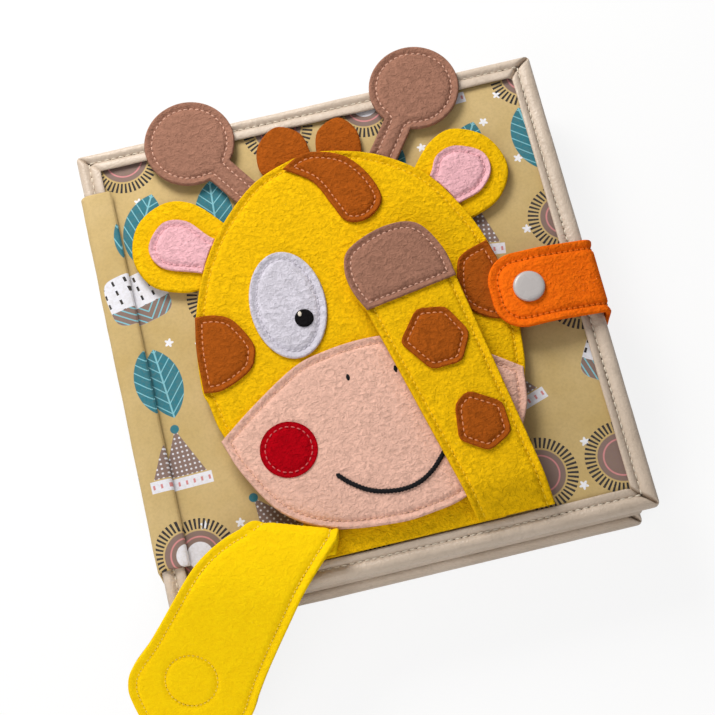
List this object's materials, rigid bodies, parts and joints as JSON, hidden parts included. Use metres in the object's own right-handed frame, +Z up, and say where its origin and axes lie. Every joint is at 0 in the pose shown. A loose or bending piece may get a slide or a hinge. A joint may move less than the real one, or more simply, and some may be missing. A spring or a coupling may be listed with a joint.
{
  "type": "quiet book",
  "caption": "Padded fabric quiet book with a felt giraffe on its cover, whose legs fold over its eyes, closed by a felt snap strap.",
  "frame": {"origin": "centre of the cover's width and height at the back cover's underside, where the closed book rests", "axes": "+X from the spine to the fore edge, +Y from the giraffe's chin to its horns, +Z up out of the front cover"},
  "size_m": [0.2259, 0.2718, 0.0483],
  "materials": {
    "binding": "soft beige imitation leather, top-stitched",
    "print_cloth": null,
    "lining": "plain pale cotton",
    "batting": "white polyester wadding",
    "yellow_felt": "bright yellow felt",
    "brown_felt": "taupe brown felt",
    "rust_felt": "rust brown felt",
    "peach_felt": "pale peach felt",
    "pink_felt": "pink felt",
    "white_felt": "white felt",
    "black_felt": "black felt",
    "red_felt": "red felt",
    "orange_felt": "orange felt",
    "black_cord": "black sewn cord",
    "snap_plastic": "glossy white press stud",
    "steel": "nickel plated disc magnet"
  },
  "bodies": {
    "root": {"back_cover_back_panel": "lining", "back_cover_batting": "batting", "back_cover_binding": "binding", "back_cover_front_panel": "lining", "spine_strip_back": "print_cloth"},
    "second_page": {"second_page_back_panel": "lining", "second_page_batting": "batting", "second_page_binding": "binding", "second_page_front_panel": "lining"},
    "first_page": {"first_page_back_panel": "lining", "first_page_batting": "batting", "first_page_binding": "binding", "first_page_front_panel": "lining"},
    "front_cover": {"blush_left": "red_felt", "blush_right": "red_felt", "cheek_patch_left": "rust_felt", "cheek_patch_right": "rust_felt", "ear_left": "yellow_felt", "ear_right": "yellow_felt", "eye_left": "white_felt", "eye_right": "white_felt", "forelock": "rust_felt", "front_cover_back_panel": "lining", "front_cover_batting": "batting", "front_cover_binding": "binding", "front_cover_front_panel": "print_cloth", "head_back_layer": "yellow_felt", "head_front_layer": "yellow_felt", "horn_left": "brown_felt", "horn_right": "brown_felt", "inner_ear_left": "pink_felt", "inner_ear_right": "pink_felt", "leg_left_base": "yellow_felt", "leg_right_base": "yellow_felt", "mane_lobe_left": "rust_felt", "mane_lobe_right": "rust_felt", "muzzle": "peach_felt", "neck": "yellow_felt", "pupil_left": "black_felt", "pupil_right": "black_felt", "smile": "black_cord", "snap_stud": "snap_plastic", "spine_strip_front": "print_cloth"},
    "leg_right": {"leg_right_back_layer": "yellow_felt", "leg_right_front_layer": "yellow_felt", "leg_right_hoof": "brown_felt", "leg_right_lower_spot": "rust_felt", "leg_right_magnet": "steel", "leg_right_upper_spot": "rust_felt"},
    "leg_left_upper": {"leg_left_bend": "yellow_felt", "leg_left_lower_spot": "rust_felt"},
    "leg_left": {"leg_left_back_layer": "yellow_felt", "leg_left_front_layer": "yellow_felt", "leg_left_hoof": "brown_felt", "leg_left_magnet": "steel", "leg_left_upper_spot": "rust_felt"},
    "strap_side": {"strap_side": "orange_felt"},
    "strap_flap": {"snap_cap": "snap_plastic", "snap_socket": "snap_plastic", "strap_flap": "orange_felt"}
  },
  "joints": [
    {"name": "second_page_turn", "type": "hinge", "parent": "root", "child": "second_page", "pos_m": [-0.1018, 0, 0.0243], "axis": [0, -1, 0], "range_deg": [0, 180]},
    {"name": "first_page_turn", "type": "hinge", "parent": "second_page", "child": "first_page", "pos_m": [-0.1018, 0, 0.0243], "axis": [0, -1, 0], "range_deg": [0, 180]},
    {"name": "front_cover_turn", "type": "hinge", "parent": "first_page", "child": "front_cover", "pos_m": [-0.1018, 0, 0.0243], "axis": [0, -1, 0], "range_deg": [0, 180]},
    {"name": "leg_right_fold", "type": "hinge", "parent": "front_cover", "child": "leg_right", "pos_m": [0.0435, -0.0932, 0.04205], "axis": [1, 0, 0], "range_deg": [0, 190], "deforming": ["leg_right_base"]},
    {"name": "leg_left_fold", "type": "hinge", "parent": "front_cover", "child": "leg_left_upper", "pos_m": [-0.0485, -0.082, 0.0457], "axis": [-0.9438, 0.3305, 0], "range_deg": [0, 180], "deforming": ["leg_left_base"]},
    {"name": "leg_left_straighten", "type": "hinge", "parent": "leg_left_upper", "child": "leg_left", "pos_m": [-0.05488, -0.10022, 0.04615], "axis": [-0.9438, 0.3305, 0], "range_deg": [0, 30], "deforming": ["leg_left_bend"]},
    {"name": "strap_open", "type": "hinge", "parent": "root", "child": "strap_side", "pos_m": [0.1016, -0.0038, 0.005], "axis": [0, 1, 0], "range_deg": [0, 90], "deforming": ["strap_side"]},
    {"name": "strap_flap_lift", "type": "hinge", "parent": "strap_side", "child": "strap_flap", "pos_m": [0.1016, -0.0038, 0.0358], "axis": [0, 1, 0], "range_deg": [0, 78], "deforming": ["strap_flap"]}
  ],
  "couplings": [
    {"joint": "leg_left_straighten", "follows": "leg_left_fold", "ratio": 0.16667},
    {"joint": "strap_flap_lift", "follows": "strap_open", "ratio": 0.86667}
  ]
}
